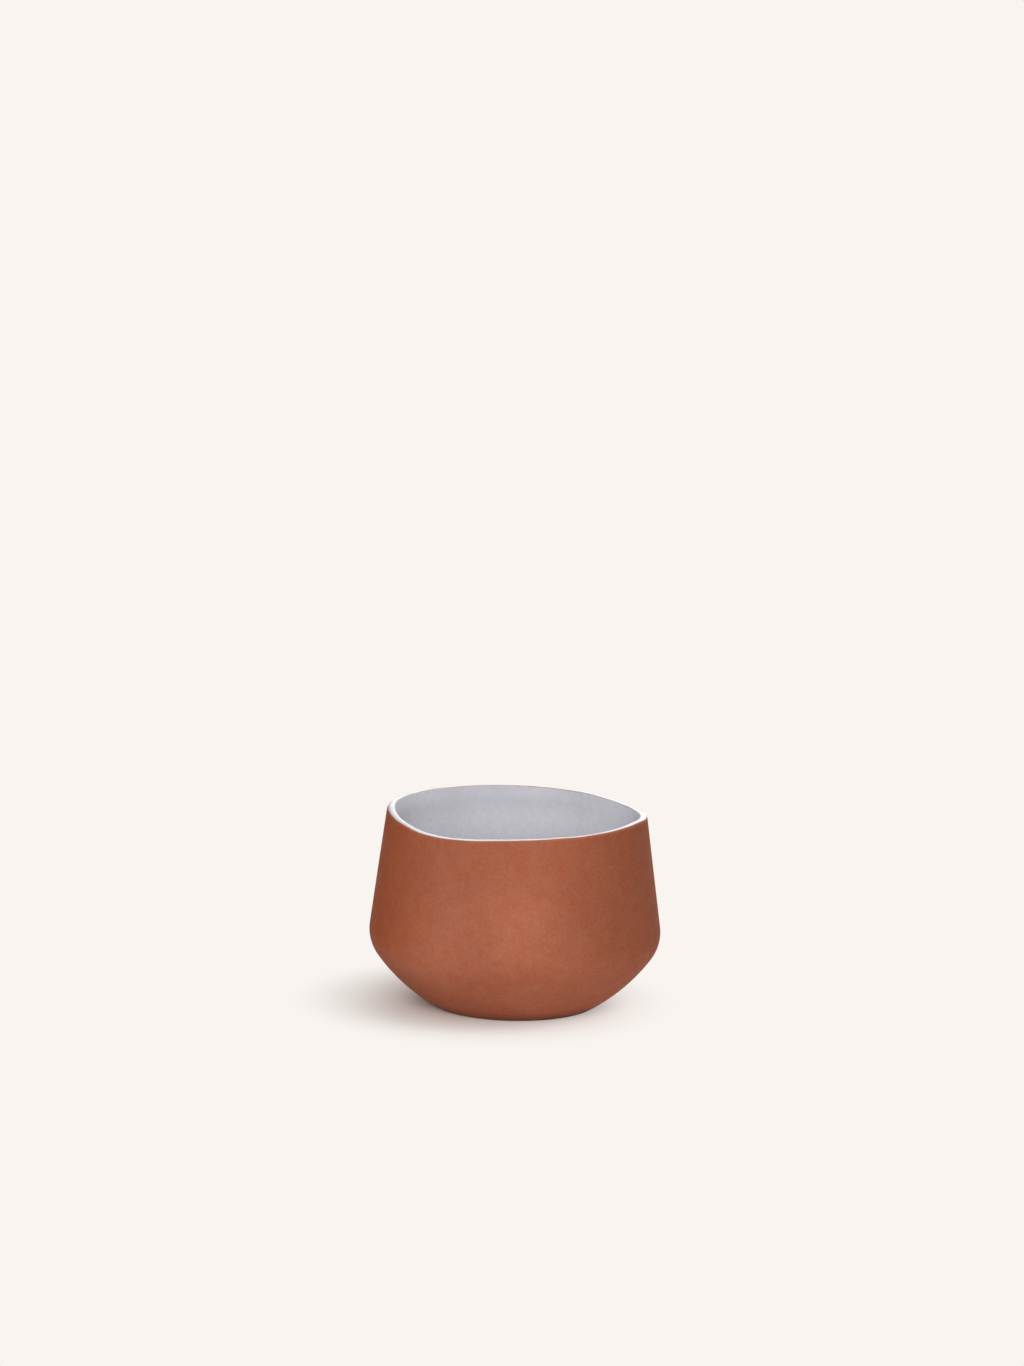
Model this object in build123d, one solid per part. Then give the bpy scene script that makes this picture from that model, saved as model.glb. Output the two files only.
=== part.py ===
"""Handle-less drinking cup: a pressed terracotta bowl with a tapering wall luted on at the belly,
a pale glaze lining inside, and a white glaze bead on the hand-trimmed lip.

Each piece starts as a section through the cup's axis, with radius along X and height along Y, which
is turned about the axis. The lip's wavy surface then trims what reaches it. +Z is up, the origin is
the centre of the foot, and -Y is the front.
"""

import math
import os

from build123d import *

# Driving dimensions, in millimetres and degrees

# Outside form. The belly is the corner where bowl and wall would meet if it weren't rounded.
FOOT_DIAMETER = 52.4
FOOT_ROUND = 3.0
BOWL_BULGE = 2.0
BELLY_DIAMETER = 96.0
BELLY_HEIGHT = 21.5
BELLY_ROUND = 13.0
WALL_TAPER = 7.7
RIM_HEIGHT = 64.0

# The hand-trimmed lip rises and falls round the cup: lobes, rise, and the direction of a high point,
# counted anticlockwise from +X as seen from above.
LIP_WAVES = (
    (1, 0.98, 111.0),
    (2, 0.89, 143.0),
    (3, 0.49, 70.0),
    (4, 0.25, 84.0),
    (5, 0.19, 51.0),
)

# Clay thicknesses. The wall thins over its last stretch below the lip.
CLAY_WALL = 3.4
CLAY_FLOOR = 5.0
FLOOR_ROUND = 14.0
LIP_CLAY = 2.2
LIP_THINNING = 4.0

# Luted seam, a little above the belly: a ring of slip, keyed half into each of the two scored edges.
SEAM_RISE = 2.0
SLIP_WIDTH = 1.6
SLIP_THICKNESS = 0.8

# Glaze. The bead's two top edges are rounded down to an upright edge.
LINING = 0.4
LIP_BEAD = 0.5
BEAD_EDGE = 0.1

# Number of points across the lip's wavy surface, each way
WAVE_POINTS = 17

# Values that follow from the driving dimensions
foot_radius = FOOT_DIAMETER / 2
belly_radius = BELLY_DIAMETER / 2
seam_height = BELLY_HEIGHT + SEAM_RISE
taper_slope = math.tan(math.radians(WALL_TAPER))
rim_radius = belly_radius - taper_slope * (RIM_HEIGHT - BELLY_HEIGHT)
highest_rise = sum(rise for _, rise, _ in LIP_WAVES)
blank_height = RIM_HEIGHT + highest_rise + 2 * (CLAY_WALL + LINING)


def wall_radius(height, depth=0.0):
    """Radius of the tapering wall at a height, at a depth in from its outside face."""
    outside = belly_radius - taper_slope * (height - BELLY_HEIGHT)
    return outside - depth / math.cos(math.radians(WALL_TAPER))


def whole_section(right_half):
    """The right half of a section and its mirror image as one face."""
    return right_half + mirror(right_half, about=Plane.YZ)


def blank_section():
    """The outside form as a solid blank: foot, bowl, belly and wall, and on past the lip."""
    foot = (foot_radius, 0)
    belly = (belly_radius, BELLY_HEIGHT)
    top = (wall_radius(blank_height), blank_height)
    right_half = make_face(
        [
            Line((0, 0), foot),
            SagittaArc(foot, belly, -BOWL_BULGE),
            Line(belly, top),
            Line(top, (0, blank_height)),
            Line((0, blank_height), (0, 0)),
        ]
    )
    section = whole_section(right_half)
    section = fillet(section.vertices().group_by(Axis.Y)[1], BELLY_ROUND)
    return fillet(section.vertices().group_by(Axis.Y)[0], FOOT_ROUND)


def hollow_section(blank):
    """The hollow that the clay goes round: the blank less its wall, floor and thinned lip."""
    hollow = offset(blank, amount=-CLAY_WALL)
    hollow -= Rectangle(BELLY_DIAMETER, CLAY_FLOOR, align=(Align.CENTER, Align.MIN))
    hollow = fillet(hollow.vertices().group_by(Axis.Y)[0], FLOOR_ROUND)

    thinning_starts = RIM_HEIGHT - LIP_THINNING
    hollow_top = blank_height - CLAY_WALL
    thinned = (CLAY_WALL - LIP_CLAY) * (hollow_top - thinning_starts) / LIP_THINNING
    lip_half = make_face(
        Polyline(
            (0, thinning_starts),
            (wall_radius(thinning_starts, CLAY_WALL), thinning_starts),
            (wall_radius(hollow_top, CLAY_WALL - thinned), hollow_top),
            (0, hollow_top),
            close=True,
        )
    )
    return hollow + whole_section(lip_half)


def turned(section):
    """A section's right half turned about the cup's axis."""
    right_side = Rectangle(BELLY_DIAMETER, blank_height, align=Align.MIN)
    return revolve(Plane.XZ * (section & right_side), axis=Axis.Z)


def lip_height(x, y):
    """Height of the lip's wavy surface over a point, as harmonics of its direction."""
    reach = math.hypot(x, y) / rim_radius
    direction = math.degrees(math.atan2(y, x))
    return RIM_HEIGHT + sum(
        rise * reach**lobes * math.cos(math.radians(lobes * (direction - high)))
        for lobes, rise, high in LIP_WAVES
    )


def space_above_lip(drop):
    """The space above the lip's wavy surface, let down by a drop."""
    half_width = rim_radius + CLAY_WALL
    steps = [half_width * (2 * i / (WAVE_POINTS - 1) - 1) for i in range(WAVE_POINTS)]
    surface = Face.make_surface_from_array_of_points(
        [[(x, y, lip_height(x, y) - drop) for y in steps] for x in steps]
    )
    return extrude(surface, amount=blank_height, dir=(0, 0, 1))


def clay_pieces(clay_section, above_clay):
    """The bowl, the wall, and the slip ring that lutes them together."""
    clay = turned(clay_section) - above_clay
    seam = Plane.XY.offset(seam_height)
    scored_edge = clay_section & Line((0, seam_height), (belly_radius, seam_height))
    slip_place = Pos(scored_edge.edges()[0].center())
    slip = turned(slip_place * Rectangle(SLIP_WIDTH, SLIP_THICKNESS))
    bowl = split(clay, bisect_by=seam, keep=Keep.BOTTOM) - slip
    wall = split(clay, bisect_by=seam, keep=Keep.TOP) - slip
    return bowl, wall, slip


def lip_bead(ring_section, above_clay, above_bead):
    """The glaze bead on the lip, level with the wall outside and the lining inside."""
    bead = (turned(ring_section) & above_clay) - above_bead
    top = bead.faces().sort_by(Axis.Z)[-1]
    return fillet(top.edges(), LIP_BEAD - BEAD_EDGE)


def main():
    blank = blank_section()
    hollow = hollow_section(blank)
    drink = offset(hollow, amount=-LINING)
    above_bead = space_above_lip(drop=0)
    above_clay = space_above_lip(drop=LIP_BEAD)

    bowl, wall, slip = clay_pieces(blank - hollow, above_clay)
    pieces = {
        "lower_bowl": bowl,
        "upper_wall": wall,
        "luting_slip": slip,
        "inner_glaze": turned(hollow - drink) - above_clay,
        "lip_glaze": lip_bead(blank - drink, above_clay, above_bead),
    }
    os.makedirs("parts", exist_ok=True)
    for name, piece in pieces.items():
        export_step(piece, f"parts/{name}.step")
        print(name, round(piece.volume), "mm3")


main()
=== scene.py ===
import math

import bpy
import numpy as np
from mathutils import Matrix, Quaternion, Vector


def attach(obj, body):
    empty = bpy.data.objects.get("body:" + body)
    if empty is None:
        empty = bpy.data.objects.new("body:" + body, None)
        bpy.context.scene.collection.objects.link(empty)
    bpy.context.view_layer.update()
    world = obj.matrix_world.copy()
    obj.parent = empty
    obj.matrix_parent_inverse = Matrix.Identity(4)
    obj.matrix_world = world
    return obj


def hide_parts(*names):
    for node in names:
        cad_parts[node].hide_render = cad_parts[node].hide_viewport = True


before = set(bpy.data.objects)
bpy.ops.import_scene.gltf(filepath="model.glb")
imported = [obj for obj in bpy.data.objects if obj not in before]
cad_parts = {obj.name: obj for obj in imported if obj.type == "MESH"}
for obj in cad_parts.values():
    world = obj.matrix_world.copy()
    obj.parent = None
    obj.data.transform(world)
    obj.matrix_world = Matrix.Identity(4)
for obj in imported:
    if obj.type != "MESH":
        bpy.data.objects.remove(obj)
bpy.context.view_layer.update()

# Looks of the handle-less cup: bare terracotta outside, a pale grey glaze inside and a white glaze on
# the hand-trimmed lip. Every piece is turned about the cup's axis from one body curve, so that clay
# and glaze meet exactly, with the small unevenness that hand finishing leaves.

MM = 0.001

# Sizes of the cup as it is constructed, in millimetres and degrees
FOOT_RADIUS = 26.2
FOOT_ROUND = 3.0
BOWL_BULGE = 2.0
BELLY_RADIUS = 48.0
BELLY_HEIGHT = 21.5
BELLY_ROUND = 13.0
WALL_TAPER = 7.7
RIM_HEIGHT = 64.0
CLAY_WALL = 3.4
CLAY_FLOOR = 5.0
FLOOR_ROUND = 14.0
LIP_CLAY = 2.2
LIP_THINNING = 4.0
SEAM_HEIGHT = 23.5
LINING = 0.4
LIP_BEAD = 0.5

# The wall's thinning below the lip sets in softly, over this share of its stretch
THINNING_SOFTNESS = 0.25

# What varies round the cup has a mean and waves: lobes, rise, and the direction of a high point,
# counted anticlockwise from +X
LIP_WAVES = ((1, 0.98, 111.0), (2, 0.89, 143.0), (3, 0.49, 70.0), (4, 0.25, 84.0), (5, 0.19, 51.0))
LIP_CLAY_WAVES = ((1, 0.1, 70.0), (2, 0.3, 105.0))
LIP_TOOL_MARKS = ((9, 0.03, 14.0), (14, 0.025, 5.0), (23, 0.02, 9.0))
BODY_WOBBLE = ((2, 0.04, 40.0), (3, 0.05, 100.0), (5, 0.03, 20.0))

# The lip's top starts a bead's height below the rim and rises inwards to a crest, in degrees, except
# at the front, where it falls. Its two corners are rounded.
TOP_RISE = 3.5
TOP_RISE_WAVES = ((1, 11.0, 120.0), (2, 1.5, 45.0), (3, 3.0, 30.0))
OUTER_ROUND = 1.3
INNER_ROUND = 0.55

# The lip glaze starts at a distance past the outer corner, turns from white to grey at the crest, and
# ends inside at a distance past the crest. It is crowned, most of all towards the outside. Clay shows
# through where it is thin: at its outer edge, and on part of the crest. Its outer half carries painted
# shade, a little greyer, except where the unshaded share is full.
GLAZE_START = 0.1
GLAZE_START_WAVES = ((1, 0.15, 270.0), (2, 0.15, 90.0), (11, 0.04, 12.0), (19, 0.03, 3.0))
GLAZE_CROWN = 0.06
CROWN_LEAN = 0.6
WHITE_REACH = 2.2
WHITE_REACH_WAVES = ((1, 0.2, 330.0), (13, 0.05, 7.0))
WHITE_FADE = 0.8
GLAZE_INSIDE = 1.6
THIN_EDGE = 0.25
THIN_EDGE_WAVES = ((1, 0.1, 60.0), (7, 0.04, 20.0))
THIN_CREST = 0.25
THIN_CREST_SHARE = 0.3
THIN_CREST_WAVES = ((1, 0.5, 60.0), (5, 0.1, 10.0), (12, 0.1, 25.0))
CLAY_THROUGH = 0.8
# Share of the lip's outer white left without painted shade
UNSHADED_SHARE = 0.6
UNSHADED_SHARE_WAVES = ((1, 0.5, 315.0),)

# Painted highlight: the clay is paler over the last stretch below the lip glaze, along its rounded edge
EDGE_HIGHLIGHT_REACH = 1.4

# Meshes: points round the cup, and the angle in degrees from which an edge shows as sharp
SEGMENTS = 384
SHARP_ANGLE = 35.0

# Camera, in millimetres, degrees and pixels, fitted to a point on the cup's axis and that point's place
# in an image of this size
CAMERA_POINT = 32.3
CAMERA_DISTANCE = 1415.0
CAMERA_ELEVATION = 12.2
CAMERA_ROLL = 1.11
PIXELS_PER_MM = 3.0593
POINT_PIXEL = (515.35, 905.8)
IMAGE_SIZE = (1024, 1366)
SENSOR = 36.0

# Light: lamps by place and size in metres and power in watts, which all face one point, and an even
# light from all round
LAMPS = (
    ("key", (0.95, -0.3, 1.15), 0.7, 7.1),
    ("front", (-0.15, -1.38, 0.62), 0.8, 13.5),
    ("left", (-0.66, -1.27, 0.3), 0.3, 2.4),
    ("back", (0.2, 1.4, 0.6), 1.0, 9.0),
)
LAMP_AIM = (0.0, 0.0, 0.03)
WORLD_LIGHT = 0.02

# Floor, in metres: its half width, and the distances from a centre over which it turns into the plain
# background
FLOOR_REACH = 8.0
PLAIN_CENTRE = (-0.01, 0.002, 0.0)
PLAIN_FROM = 0.012
PLAIN_BEYOND = 0.066

# Colours, as linear values
BACKGROUND = (0.947, 0.905, 0.871)
FLOOR = (0.947, 0.865, 0.8)
CLAY = (0.395, 0.124, 0.066)
GREY = (0.73, 0.72, 0.765)
WHITE = (0.9, 0.9, 0.905)

# Tones of these colours: a factor, and a warmth that turns the colour towards red
CLAY_CLOUDS = ((0.93, 0.02), (1.1, -0.02))
CLAY_MOTTLE = (0.84, 0.15)
CLAY_GRAIN = (1.22, -0.12)
# Painted shade: the clay darker towards the lip
CLAY_SHADE_AT_LIP = (0.82, 0.08)
# Painted shade: the wall's left flank darker and redder
CLAY_SHADE_AT_LEFT = (0.71, 0.33)
# Painted shade: the wall's right flank darker
CLAY_SHADE_AT_RIGHT = (0.67, 0.1)
# Painted shade: the clay darker at the foot, where it meets the floor
CLAY_SHADE_AT_FOOT = (0.55, 0.0)
# Painted highlight along the clay's edge below the lip glaze
CLAY_EDGE_HIGHLIGHT = (1.25, -0.03)
SLIP_CLOUDS = ((0.7, 0.0), (0.9, 0.0))
GREY_CLOUDS = ((0.96, 0.0), (1.03, 0.0))
GREY_MOTTLE = (0.93, 0.0)
# Painted light: the lining paler at its two sides
GREY_LIT_AT_SIDES = (1.18, 0.0)
# Painted shade: the lining darker below the lip at the back
GREY_SHADE_AT_BACK = (0.9, 0.0)
# Painted shade: the lip's white, a little greyer in its outer half
WHITE_SHADED_OUTER = (0.94, 0.0)

# Zones of tone along an axis of the cup: where each starts and where it is full, in millimetres, and
# its share there. They place painted shade towards the lip, on the flanks of the wall, at the foot and
# below the lining's lip at the back, and painted light on the lining's two sides.
# Painted shade towards the lip
LIP_SHADE_ZONE = (0.5 * RIM_HEIGHT, RIM_HEIGHT, 0.5)
# Painted shade on the wall's left and right flanks, only above the belly
LEFT_SHADE_ZONE = (-0.5 * BELLY_RADIUS, -0.9 * BELLY_RADIUS, 0.9)
RIGHT_SHADE_ZONE = (0.1 * BELLY_RADIUS, 0.6 * BELLY_RADIUS, 0.85)
FLANK_SHADE_WALL_ZONE = (0.8 * BELLY_HEIGHT, 1.2 * BELLY_HEIGHT, 1.0)
# Painted shade at the foot
FOOT_SHADE_ZONE = (4.0, 0.5, 1.0)
# Painted light on the lining's two sides
LINING_LIT_SIDE_ZONES = (
    (-0.45 * BELLY_RADIUS, -0.8 * BELLY_RADIUS, 1.0),
    (0.45 * BELLY_RADIUS, 0.8 * BELLY_RADIUS, 1.0),
)
# Painted shade on the lining below the lip at the back
LINING_SHADE_BACK_ZONE = (0.0, 0.7 * BELLY_RADIUS, 1.0)
LINING_SHADE_LIP_ZONE = (RIM_HEIGHT - 10.0, RIM_HEIGHT - 3.0, 1.0)

# Surfaces: specular levels, roughness as a span, and the depth of bumps in millimetres
CLAY_SPECULAR = 0.12
CLAY_ROUGHNESS = (0.66, 0.82)
MOTTLE_DEPTH = 0.05
GRAIN_DEPTH = 0.03
SLIP_ROUGHNESS = (0.75, 0.9)
GREY_SPECULAR = 0.35
GREY_ROUGHNESS = (0.46, 0.56)
WHITE_SPECULAR = 0.25
WHITE_ROUGHNESS = (0.34, 0.44)
RIPPLE_DEPTH = 0.12

# The span in which most of a noise's values lie
NOISE_SPAN = (0.3, 0.7)


def waves(rows, angle):
    """Sum of the waves at angles in radians."""
    return sum(rise * np.cos(lobes * (angle - math.radians(high))) for lobes, rise, high in rows)


def smooth_step(share):
    """An even change from 0 to 1 with soft ends."""
    share = np.clip(share, 0, 1)
    return share * share * (3 - 2 * share)


# The body curve: a bowl arc, a belly arc and a straight wall, each tangent to the next

foot = np.array([FOOT_RADIUS, 0.0])
belly = np.array([BELLY_RADIUS, BELLY_HEIGHT])
chord = belly - foot
chord_length = np.hypot(*chord)
chord_outward = np.array([chord[1], -chord[0]]) / chord_length
bowl_radius = (chord_length**2 / 4 + BOWL_BULGE**2) / (2 * BOWL_BULGE)
bowl_centre = (foot + belly) / 2 - chord_outward * (bowl_radius - BOWL_BULGE)
taper = math.radians(WALL_TAPER)
wall_outward = np.array([math.cos(taper), math.sin(taper)])
wall_up = np.array([-math.sin(taper), math.cos(taper)])


def belly_arc_centre():
    """Centre of the arc that rounds the belly, tangent to the bowl arc and to the wall."""
    start = belly - BELLY_ROUND * wall_outward - bowl_centre
    along = start @ wall_up
    rest = start @ start - (bowl_radius - BELLY_ROUND) ** 2
    return bowl_centre + start + wall_up * (-along - math.sqrt(along**2 - rest))


def direction(vector):
    """Angle of a vector of radius and height."""
    return math.atan2(vector[1], vector[0])


def arc(centre, radius, start, end, steps):
    """Points of an arc, from one angle to another."""
    angle = np.linspace(start, end, steps)
    return centre + radius * np.stack([np.cos(angle), np.sin(angle)], -1)


belly_centre = belly_arc_centre()
bowl_end = direction(belly_centre - bowl_centre)


def bowl_curve(depth, floor, floor_round, steps):
    """From the axis along a floor, round its corner and up the bowl to the belly, at a depth."""
    reach = bowl_radius - depth - floor_round
    rise = floor + floor_round - bowl_centre[1]
    corner = bowl_centre + np.array([math.sqrt(reach**2 - rise**2), rise])
    corner_end = direction(corner - bowl_centre)
    flat = np.linspace((0.0, floor), (corner[0], floor), steps // 2)
    rounded = arc(corner, floor_round, -math.pi / 2, corner_end, steps // 2)
    bowl = arc(bowl_centre, bowl_radius - depth, corner_end, bowl_end, steps)
    return np.concatenate([flat, rounded[1:], bowl[1:]])


def belly_curve(depth, start, end, steps):
    """Part of the belly arc at a depth."""
    return arc(belly_centre, BELLY_ROUND - depth, start, end, steps)


def seam_angle(depth):
    """Where the seam's height cuts the belly arc, at a depth."""
    return math.asin((SEAM_HEIGHT - belly_centre[1]) / (BELLY_ROUND - depth))


def wall_radius(height, depth):
    """Radius of the wall at a height and depth."""
    return BELLY_RADIUS - math.tan(taper) * (height - BELLY_HEIGHT) - depth / math.cos(taper)


# Round the cup: profiles hold radius and height at each angle

angles = np.arange(SEGMENTS) * 2 * math.pi / SEGMENTS
outer_top = (RIM_HEIGHT - LIP_BEAD + waves(LIP_WAVES + LIP_TOOL_MARKS, angles))[:, None]
top_rise = np.radians(TOP_RISE + waves(TOP_RISE_WAVES, angles))[:, None]
lip_clay = (LIP_CLAY + waves(LIP_CLAY_WAVES, angles))[:, None]
inner_top = outer_top + (lip_clay + LINING) * np.sin(top_rise)


def points(radius, height):
    """Radius and height joined into a profile."""
    return np.stack(np.broadcast_arrays(radius, height), -1)


def inside_point(height, depth):
    """A point of an inside face, whose wall thins towards the lip."""
    share = 1 + (height - inner_top) / LIP_THINNING
    thinned = (share + np.sqrt(share**2 + THINNING_SOFTNESS**2)) / 2
    return points(wall_radius(height, depth - (CLAY_WALL - lip_clay) * thinned), height)


def all_round(curve):
    """A curve that is the same all round, as a profile."""
    return np.repeat(curve[None], SEGMENTS, 0)


def joined(*stretches):
    """Stretches of a profile one after another."""
    return np.concatenate(stretches, 1)


def wall_heights(depth, end, steps):
    """Heights up the wall from the belly arc to an end, closer together towards the end."""
    start = (belly_centre + (BELLY_ROUND - depth) * wall_outward)[1]
    return start + (end - start) * np.sin(np.linspace(0, math.pi / 2, steps))[None, :]


def unit(vectors):
    """Vectors with their length taken out."""
    return vectors / np.linalg.norm(vectors, axis=-1, keepdims=True)


def bent(distance, before, after, rounding):
    """Path along two legs that leave a rounded corner, by the distance past it."""
    share = np.clip((distance + rounding) / (2 * rounding), 0, 1)[..., None]
    distance = distance[..., None]
    back = np.maximum(-distance - rounding, 0) + rounding * (1 - share) ** 2
    ahead = np.maximum(distance - rounding, 0) + rounding * share**2
    return before * back + after * ahead


outer_corner = points(wall_radius(outer_top, 0), outer_top)
inner_corner = inside_point(inner_top, CLAY_WALL + LINING)
glaze_end = inner_top - GLAZE_INSIDE
lip_end = inside_point(glaze_end, CLAY_WALL + LINING)
top_width = np.linalg.norm(inner_corner - outer_corner, axis=-1)
glaze_start = GLAZE_START + waves(GLAZE_START_WAVES, angles)[:, None]


def lip_path(distance):
    """Points of the lip's rounded outline by their distance past the outer corner: below 0 down the
    outside, then inwards over the top, and past the top's width down the inside."""
    inwards = unit(inner_corner - outer_corner)
    outside = outer_corner + bent(distance, -wall_up, inwards, OUTER_ROUND)
    down_inside = unit(lip_end - inner_corner)
    inside = inner_corner + bent(distance - top_width, -inwards, down_inside, INNER_ROUND)
    return np.where((distance < top_width / 2)[..., None], outside, inside)


def ledge():
    """The clay's top under the lip glaze, from the outside in."""
    drop = np.array([0, LIP_BEAD])
    outer = lip_path(glaze_start + LIP_BEAD) - drop
    inner = inside_point(inner_top - 2 * LIP_BEAD, CLAY_WALL)
    return joined(outer, inner)


def turn(name, profile, material, node, shares=None):
    """A closed piece from its profile at each angle, with shares as values at its points. A profile
    with its ends on the axis closes there, and any other closes on itself."""
    height = profile[..., 1]
    wobble = waves(BODY_WOBBLE, angles[:, None] + height / RIM_HEIGHT)
    wobble *= np.clip(height / BELLY_HEIGHT, 0, 1)
    radius = np.where(profile[..., 0] > 0, profile[..., 0] + wobble, 0)
    x = radius * np.cos(angles)[:, None]
    y = radius * np.sin(angles)[:, None]
    places = np.stack([x, y, height], -1) * MM
    has_poles = not radius[:, 0].any()
    rings = places[:, 1:-1] if has_poles else places
    count = rings.shape[1]
    corners = rings.reshape(-1, 3).tolist()
    here = np.arange(SEGMENTS) * count
    beside = np.roll(here, -1)
    faces = []
    for ring in range(count - 1 if has_poles else count):
        above = (ring + 1) % count
        faces += np.stack([here + ring, beside + ring, beside + above, here + above], -1).tolist()
    if has_poles:
        for pole, first, second in ((0, beside, here), (-1, here + count - 1, beside + count - 1)):
            corners.append(places[0, pole].tolist())
            tip = np.full(SEGMENTS, len(corners) - 1)
            faces += np.stack([first, second, tip], -1).tolist()
    mesh = bpy.data.meshes.new(name)
    mesh.from_pydata(corners, [], faces)
    for share_name, values in (shares or {}).items():
        attribute = mesh.attributes.new(share_name, "FLOAT", "POINT")
        attribute.data.foreach_set("value", values.astype(np.float32).ravel())
    mesh.shade_smooth()
    mesh.set_sharp_from_angle(angle=math.radians(SHARP_ANGLE))
    mesh.materials.append(material)
    piece = bpy.data.objects.new(name, mesh)
    bpy.context.scene.collection.objects.link(piece)
    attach(piece, "root")
    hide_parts(node)


# Pieces

def make_bowl(material):
    """The clay bowl: from the foot up the outside to the seam, and down the inside under the lining."""
    outside = bowl_curve(0, 0, FOOT_ROUND, steps=42)
    outside_belly = belly_curve(0, bowl_end, seam_angle(0), steps=20)
    inside = bowl_curve(CLAY_WALL, CLAY_FLOOR, FLOOR_ROUND, steps=18)
    inside_belly = belly_curve(CLAY_WALL, bowl_end, seam_angle(CLAY_WALL), steps=8)
    curve = np.concatenate([outside, outside_belly[1:], inside_belly[::-1], inside[-2::-1]])
    turn("clay_bowl", all_round(curve), material, "lower_bowl")


def make_wall(material):
    """The clay wall: from the seam up the outside, over the ledge under the glaze and down inside."""
    outside_belly = all_round(belly_curve(0, seam_angle(0), taper, steps=12))
    heights = wall_heights(0, outer_top - 2 * OUTER_ROUND, steps=56)
    outside = points(wall_radius(heights, 0), heights)
    edge_start = -1.5 * OUTER_ROUND
    edge_steps = np.linspace(0, 1, num=15)[None, 1:]
    edge_distance = edge_start + (glaze_start - edge_start) * edge_steps
    edge = lip_path(edge_distance)
    inside = inside_point(wall_heights(CLAY_WALL, glaze_end, steps=24), CLAY_WALL)
    inside_belly = all_round(belly_curve(CLAY_WALL, seam_angle(CLAY_WALL), taper, steps=6))
    below = joined(outside_belly, outside[:, 1:])
    behind = joined(ledge(), inside[:, ::-1], inside_belly[:, -2::-1])
    # Painted highlight along the clay's rounded edge below the lip glaze
    edge_highlight = smooth_step(1 - (glaze_start - edge_distance) / EDGE_HIGHLIGHT_REACH)
    shares = {"painted_highlight": joined(np.zeros(below.shape[:2]), edge_highlight, np.zeros(behind.shape[:2]))}
    turn("clay_wall", joined(below, edge, behind), material, "upper_wall", shares)


def lining_face(depth, floor, steps):
    """One face of the lining, from the axis up to the lip glaze."""
    bowl = bowl_curve(depth, floor, FLOOR_ROUND + CLAY_WALL - depth, steps)
    belly_part = belly_curve(depth, bowl_end, taper, steps // 2)
    wall = inside_point(wall_heights(depth, glaze_end, steps), depth)
    return joined(all_round(np.concatenate([bowl, belly_part[1:]])), wall[:, 1:])


def make_lining(material):
    """The glaze lining: its back against the clay, and its drinking face."""
    back = lining_face(CLAY_WALL, CLAY_FLOOR, steps=20)
    drinking = lining_face(CLAY_WALL + LINING, CLAY_FLOOR + LINING, steps=50)
    turn("glaze_lining", joined(back, drinking[:, ::-1]), material, "inner_glaze")


def make_lip(material):
    """The glaze on the lip, from the clay's outer edge over the top to the lining."""
    steps = np.linspace(0, 1, num=36)[None, :]
    distance = glaze_start + (top_width + GLAZE_INSIDE - glaze_start) * steps
    over_top = np.clip((distance - glaze_start) / (top_width - glaze_start), 0, 1)
    outline = lip_path(distance)
    outline[:, -1] = lip_end[:, 0]
    outline[..., 1] += GLAZE_CROWN * np.sin(math.pi * over_top**CROWN_LEAN)
    hidden = joined(inside_point(glaze_end, CLAY_WALL), ledge()[:, ::-1])
    edge_reach = THIN_EDGE + waves(THIN_EDGE_WAVES, angles)[:, None]
    thin_edge = 1 - smooth_step((distance - glaze_start) / edge_reach)
    crest_share = np.clip(THIN_CREST_SHARE + waves(THIN_CREST_WAVES, angles), 0, 1)[:, None]
    thin_crest = crest_share * np.exp(-(((distance - top_width) / THIN_CREST) ** 2))
    white_reach = WHITE_REACH + waves(WHITE_REACH_WAVES, angles)[:, None]
    # Share of the lip's white left without painted shade
    unshaded_white = UNSHADED_SHARE + waves(UNSHADED_SHARE_WAVES, angles)[:, None]
    unseen = np.zeros(hidden.shape[:2])
    shares = {
        "thin_glaze": joined(np.maximum(thin_edge, thin_crest), unseen),
        "white_glaze": joined(1 - smooth_step((distance - white_reach) / WHITE_FADE), unseen),
        "unshaded_white": joined(np.maximum(unshaded_white, smooth_step(2 * over_top - 1)), unseen),
    }
    turn("glaze_lip", joined(outline, hidden), material, "lip_glaze", shares)


# Materials

def new_material(name):
    """A node material, with its node tree and its main shader."""
    material = bpy.data.materials.new(name)
    material.use_nodes = True
    return material, material.node_tree, material.node_tree.nodes["Principled BSDF"]


def noise(tree, size, detail, roughness=0.5):
    """A noise over the object's own coordinates, whose features have about that size in millimetres."""
    place = tree.nodes.new("ShaderNodeTexCoord")
    texture = tree.nodes.new("ShaderNodeTexNoise")
    texture.inputs["Scale"].default_value = 1 / (size * MM)
    texture.inputs["Detail"].default_value = detail
    texture.inputs["Roughness"].default_value = roughness
    tree.links.new(place.outputs["Object"], texture.inputs["Vector"])
    return texture.outputs["Fac"]


def place_along(tree, axis):
    """Place along one of the cup's axes, in metres."""
    place = tree.nodes.new("ShaderNodeTexCoord")
    split = tree.nodes.new("ShaderNodeSeparateXYZ")
    tree.links.new(place.outputs["Object"], split.inputs["Vector"])
    return split.outputs[axis]


def share_of(tree, name):
    """Values that a mesh holds at its points."""
    node = tree.nodes.new("ShaderNodeAttribute")
    node.attribute_name = name
    return node.outputs["Fac"]


def spread(tree, value, span, onto=(0, 1), kind="LINEAR"):
    """The value mapped from one span onto another and clamped, evenly or with another kind of step."""
    node = tree.nodes.new("ShaderNodeMapRange")
    node.interpolation_type = kind
    for socket, number in zip(("From Min", "From Max", "To Min", "To Max"), (*span, *onto)):
        node.inputs[socket].default_value = number
    tree.links.new(value, node.inputs["Value"])
    return node.outputs["Result"]


def in_zone(tree, axis, zone):
    """The share of a zone of tone along an axis, from none where it starts to all of it where full."""
    start, full, share = zone
    return spread(tree, place_along(tree, axis), (start * MM, full * MM), (0, share))


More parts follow.
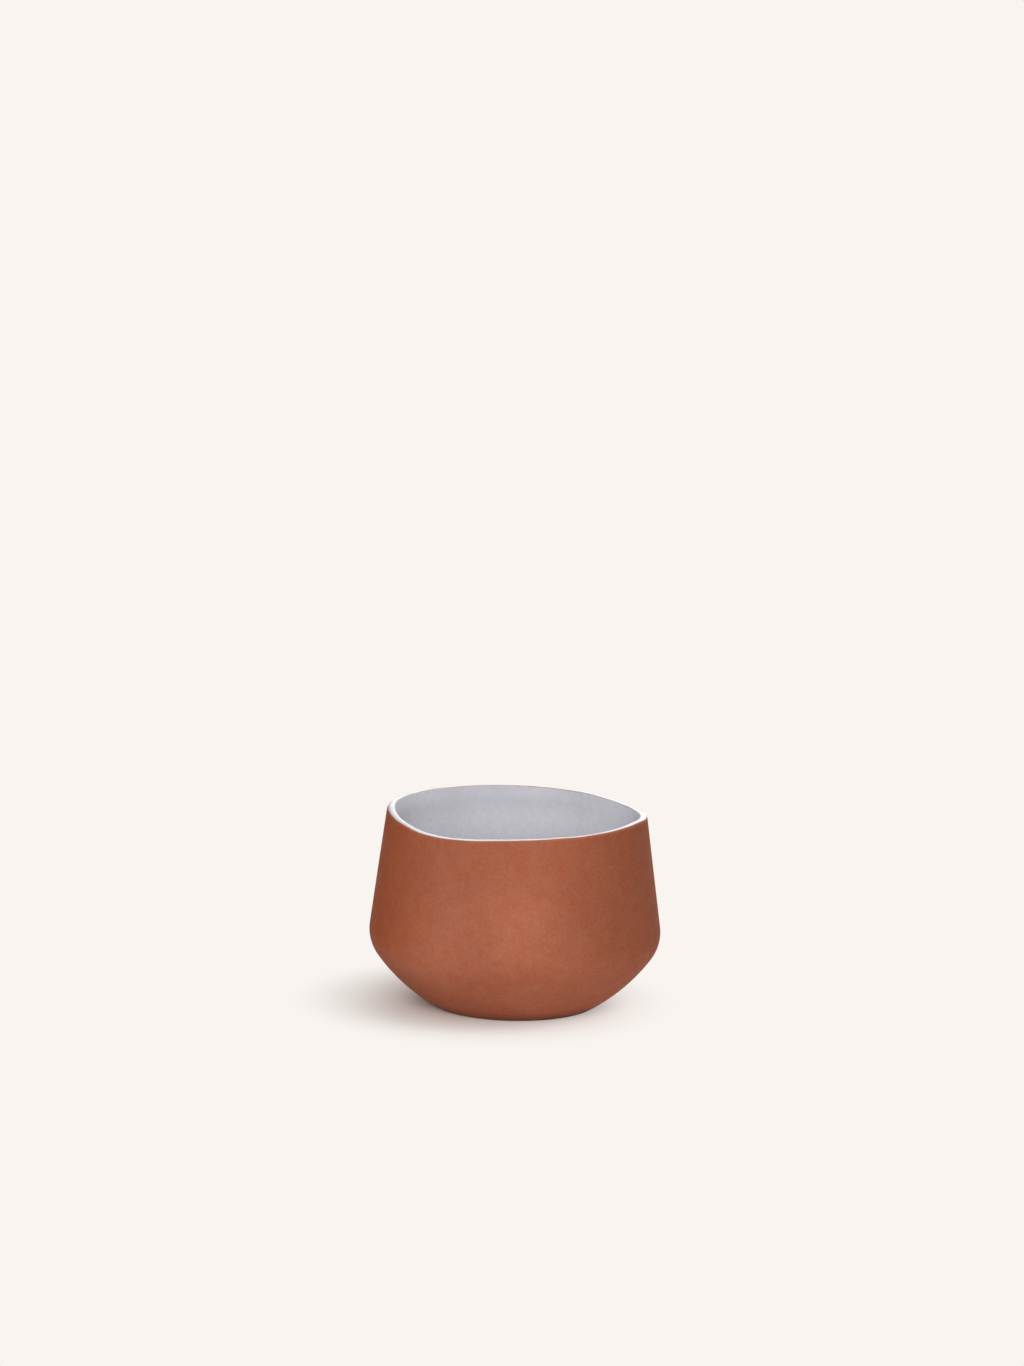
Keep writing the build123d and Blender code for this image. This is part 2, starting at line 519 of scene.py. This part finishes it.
def product(tree, first, second):
    """Two values multiplied."""
    node = tree.nodes.new("ShaderNodeMath")
    node.operation = "MULTIPLY"
    tree.links.new(first, node.inputs[0])
    tree.links.new(second, node.inputs[1])
    return node.outputs["Value"]


def mixed(tree, share, first, second, blend="MIX"):
    """Two colours mixed by a share, or blended in another way. A colour is given or is a socket."""
    node = tree.nodes.new("ShaderNodeMix")
    node.data_type = "RGBA"
    node.blend_type = blend
    tree.links.new(share, node.inputs["Factor"])
    sockets = [socket for socket in node.inputs if socket.type == "RGBA"]
    for socket, colour in zip(sockets, (first, second)):
        if isinstance(colour, tuple):
            socket.default_value = (*colour, 1)
        else:
            tree.links.new(colour, socket)
    return next(socket for socket in node.outputs if socket.type == "RGBA")


def bumped(tree, shader, layers):
    """Bumps from several heights, each with its depth in millimetres."""
    normal = None
    for height, depth in layers:
        node = tree.nodes.new("ShaderNodeBump")
        node.inputs["Distance"].default_value = depth * MM
        tree.links.new(height, node.inputs["Height"])
        if normal:
            tree.links.new(normal, node.inputs["Normal"])
        normal = node.outputs["Normal"]
    tree.links.new(normal, shader.inputs["Normal"])


def tinted(colour, factor, warmth=0.0):
    """A colour made lighter or darker, and warmer or cooler."""
    red, green, blue = colour
    return (red * factor * (1 + warmth), green * factor, blue * factor * (1 - warmth))


def clouded(tree, cloud, colour, tones):
    """A colour that varies between two tones of it."""
    first, second = tones
    return mixed(tree, cloud, tinted(colour, *first), tinted(colour, *second))


def shaded(tree, share, colour, tone):
    """A colour from a socket, with a tone laid over it by a share."""
    return mixed(tree, share, colour, tinted((1, 1, 1), *tone), "MULTIPLY")


def clay_colour(tree):
    """Bare fired clay: cloudy red-brown with a mottle and a fine grain, with painted shade towards the
    lip, on the flanks of the wall and at the foot, and a painted highlight along its edge below the lip
    glaze."""
    cloud = spread(tree, noise(tree, size=24, detail=3), (0.35, 0.65))
    mottle = spread(tree, noise(tree, size=5, detail=3, roughness=0.8), (0.38, 0.62), (0, 0.7))
    grain = spread(tree, noise(tree, size=0.8, detail=3, roughness=0.9), (0.42, 0.58))
    # Painted shade on the wall's left and right flanks, only above the belly
    wall = in_zone(tree, "Z", FLANK_SHADE_WALL_ZONE)
    left_shade = product(tree, in_zone(tree, "X", LEFT_SHADE_ZONE), wall)
    right_shade = product(tree, in_zone(tree, "X", RIGHT_SHADE_ZONE), wall)
    colour = clouded(tree, cloud, CLAY, CLAY_CLOUDS)
    # Painted shade: the clay darker towards the lip
    colour = mixed(tree, in_zone(tree, "Z", LIP_SHADE_ZONE), colour, tinted(CLAY, *CLAY_SHADE_AT_LIP))
    # Painted shade: darker flanks of the wall
    colour = mixed(tree, left_shade, colour, tinted(CLAY, *CLAY_SHADE_AT_LEFT))
    colour = mixed(tree, right_shade, colour, tinted(CLAY, *CLAY_SHADE_AT_RIGHT))
    colour = shaded(tree, mottle, colour, CLAY_MOTTLE)
    colour = shaded(tree, grain, colour, CLAY_GRAIN)
    # Painted shade: the clay darker at the foot
    colour = shaded(tree, in_zone(tree, "Z", FOOT_SHADE_ZONE), colour, CLAY_SHADE_AT_FOOT)
    # Painted highlight: paler clay along the edge below the lip glaze
    return mixed(tree, share_of(tree, "painted_highlight"), colour, tinted(CLAY, *CLAY_EDGE_HIGHLIGHT))


def terracotta():
    """Bare fired clay, matte and slightly grainy."""
    material, tree, shader = new_material("terracotta")
    tree.links.new(clay_colour(tree), shader.inputs["Base Color"])
    mottle = noise(tree, size=4, detail=5, roughness=0.6)
    grain = noise(tree, size=0.6, detail=3, roughness=0.6)
    tree.links.new(spread(tree, mottle, NOISE_SPAN, CLAY_ROUGHNESS), shader.inputs["Roughness"])
    shader.inputs["Specular IOR Level"].default_value = CLAY_SPECULAR
    bumped(tree, shader, [(mottle, MOTTLE_DEPTH), (grain, GRAIN_DEPTH)])
    return material


def slip():
    """Fired slip inside the seam, a little darker than the body."""
    material, tree, shader = new_material("slip")
    grain = noise(tree, size=0.8, detail=3, roughness=0.6)
    colour = clouded(tree, spread(tree, grain, NOISE_SPAN), CLAY, SLIP_CLOUDS)
    tree.links.new(colour, shader.inputs["Base Color"])
    tree.links.new(spread(tree, grain, NOISE_SPAN, SLIP_ROUGHNESS), shader.inputs["Roughness"])
    return material


def grey_colour(tree):
    """Grey glaze with soft clouds and a fine mottle, with painted light that makes it paler at the two
    sides and painted shade that makes it darker below the lip at the back."""
    cloud = spread(tree, noise(tree, size=18, detail=3), NOISE_SPAN)
    mottle = spread(tree, noise(tree, size=1.8, detail=3, roughness=0.9), (0.45, 0.55), (0, 0.85))
    # Where the painted shade below the lip at the back lies
    shade_near_lip = in_zone(tree, "Z", LINING_SHADE_LIP_ZONE)
    shade_at_back = in_zone(tree, "Y", LINING_SHADE_BACK_ZONE)
    colour = clouded(tree, cloud, GREY, GREY_CLOUDS)
    colour = mixed(tree, mottle, colour, tinted(GREY, *GREY_MOTTLE))
    # Painted light: the lining paler at its two sides
    for lit_side_zone in LINING_LIT_SIDE_ZONES:
        colour = shaded(tree, in_zone(tree, "X", lit_side_zone), colour, GREY_LIT_AT_SIDES)
    # Painted shade: the lining darker below the lip at the back
    return shaded(tree, product(tree, shade_near_lip, shade_at_back), colour, GREY_SHADE_AT_BACK)


def glaze_surface(tree, shader, specular, roughness):
    """A glaze's smooth, slightly rippled surface."""
    mottle = noise(tree, size=1.2, detail=4, roughness=0.6)
    ripple = noise(tree, size=6, detail=1)
    shader.inputs["Specular IOR Level"].default_value = specular
    tree.links.new(spread(tree, mottle, NOISE_SPAN, roughness), shader.inputs["Roughness"])
    bumped(tree, shader, [(ripple, RIPPLE_DEPTH)])


def grey_glaze():
    """The lining's pale grey glaze."""
    material, tree, shader = new_material("grey_glaze")
    tree.links.new(grey_colour(tree), shader.inputs["Base Color"])
    glaze_surface(tree, shader, GREY_SPECULAR, GREY_ROUGHNESS)
    return material


def white_glaze():
    """The lip's white glaze: clay shows through where it is thin, and it turns grey inwards."""
    material, tree, shader = new_material("white_glaze")
    # Painted shade: the white a little greyer where the unshaded share is not full
    white = mixed(tree, share_of(tree, "unshaded_white"), tinted(WHITE, *WHITE_SHADED_OUTER), WHITE)
    colour = mixed(tree, share_of(tree, "white_glaze"), grey_colour(tree), white)
    broken = spread(tree, share_of(tree, "thin_glaze"), (0, 1), (0, CLAY_THROUGH))
    tree.links.new(mixed(tree, broken, colour, clay_colour(tree)), shader.inputs["Base Color"])
    glaze_surface(tree, shader, WHITE_SPECULAR, WHITE_ROUGHNESS)
    return material


# Stage, light and camera

def seen_rays(tree):
    """1 for rays that show the background directly, in a mirror or through glass, and 0 for others."""
    path = tree.nodes.new("ShaderNodeLightPath")
    total = path.outputs["Is Camera Ray"]
    for other in ("Is Glossy Ray", "Is Transmission Ray"):
        node = tree.nodes.new("ShaderNodeMath")
        node.operation = "MAXIMUM"
        tree.links.new(total, node.inputs[0])
        tree.links.new(path.outputs[other], node.inputs[1])
        total = node.outputs["Value"]
    return total


def mix_into_output(tree, output_kind, share, first, second):
    """Two shaders mixed by a share into the tree's output."""
    mix = tree.nodes.new("ShaderNodeMixShader")
    output = tree.nodes.new(output_kind)
    tree.links.new(share, mix.inputs["Fac"])
    tree.links.new(first.outputs[0], mix.inputs[1])
    tree.links.new(second.outputs[0], mix.inputs[2])
    tree.links.new(mix.outputs["Shader"], output.inputs["Surface"])


def make_floor():
    """A pale floor that keeps the cup's shadow and turns into the plain background further out."""
    mesh = bpy.data.meshes.new("floor")
    sides = ((-1, -1), (1, -1), (1, 1), (-1, 1))
    mesh.from_pydata([(x * FLOOR_REACH, y * FLOOR_REACH, 0) for x, y in sides], [], [(0, 1, 2, 3)])
    floor = bpy.data.objects.new("floor", mesh)
    bpy.context.scene.collection.objects.link(floor)
    material = bpy.data.materials.new("floor")
    material.use_nodes = True
    mesh.materials.append(material)
    tree = material.node_tree
    tree.nodes.clear()
    lit = tree.nodes.new("ShaderNodeBsdfDiffuse")
    lit.inputs["Color"].default_value = (*FLOOR, 1)
    plain = tree.nodes.new("ShaderNodeEmission")
    plain.inputs["Color"].default_value = (*BACKGROUND, 1)
    place = tree.nodes.new("ShaderNodeTexCoord")
    distance = tree.nodes.new("ShaderNodeVectorMath")
    distance.operation = "DISTANCE"
    distance.inputs[1].default_value = PLAIN_CENTRE
    tree.links.new(place.outputs["Object"], distance.inputs[0])
    far_out = spread(tree, distance.outputs["Value"], (PLAIN_FROM, PLAIN_BEYOND), kind="SMOOTHSTEP")
    plain_share = product(tree, far_out, seen_rays(tree))
    mix_into_output(tree, "ShaderNodeOutputMaterial", plain_share, lit, plain)


def make_world():
    """A plain background to look at, and an even white light from all round."""
    world = bpy.data.worlds.new("studio")
    bpy.context.scene.world = world
    world.use_nodes = True
    tree = world.node_tree
    tree.nodes.clear()
    light = tree.nodes.new("ShaderNodeBackground")
    light.inputs["Strength"].default_value = WORLD_LIGHT
    shown = tree.nodes.new("ShaderNodeBackground")
    shown.inputs["Color"].default_value = (*BACKGROUND, 1)
    mix_into_output(tree, "ShaderNodeOutputWorld", seen_rays(tree), light, shown)


def add_lamp(name, place, size, power):
    """A square soft lamp that faces the cup."""
    data = bpy.data.lights.new(name, "AREA")
    data.size = size
    data.energy = power
    lamp = bpy.data.objects.new(name, data)
    lamp.location = place
    lamp.rotation_mode = "QUATERNION"
    lamp.rotation_quaternion = (Vector(LAMP_AIM) - Vector(place)).to_track_quat("-Z", "Y")
    bpy.context.scene.collection.objects.link(lamp)


def add_camera():
    """The camera in front of the cup, turned so that the fitted point has its place in the image."""
    elevation = math.radians(CAMERA_ELEVATION)
    back = Vector((0, -math.cos(elevation), math.sin(elevation)))
    focal_pixels = PIXELS_PER_MM * CAMERA_DISTANCE
    data = bpy.data.cameras.new("camera")
    data.sensor_width = SENSOR
    data.lens = focal_pixels * SENSOR / max(IMAGE_SIZE)
    camera = bpy.data.objects.new("camera", data)
    camera.location = Vector((0, 0, CAMERA_POINT * MM)) + back * CAMERA_DISTANCE * MM
    beside, below = (
        math.atan((pixel - size / 2) / focal_pixels) for pixel, size in zip(POINT_PIXEL, IMAGE_SIZE)
    )
    camera.rotation_mode = "QUATERNION"
    camera.rotation_quaternion = (
        (-back).to_track_quat("-Z", "Y")
        @ Quaternion((0, 0, 1), math.radians(CAMERA_ROLL))
        @ Quaternion((0, 1, 0), beside)
        @ Quaternion((1, 0, 0), below)
    )
    bpy.context.scene.collection.objects.link(camera)
    bpy.context.scene.camera = camera


clay = terracotta()
make_bowl(clay)
make_wall(clay)
make_lining(grey_glaze())
make_lip(white_glaze())
slip_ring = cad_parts["luting_slip"].data
slip_ring.materials.clear()
slip_ring.materials.append(slip())

make_floor()
make_world()
for lamp_row in LAMPS:
    add_lamp(*lamp_row)
add_camera()
bpy.context.scene.view_settings.view_transform = "Standard"
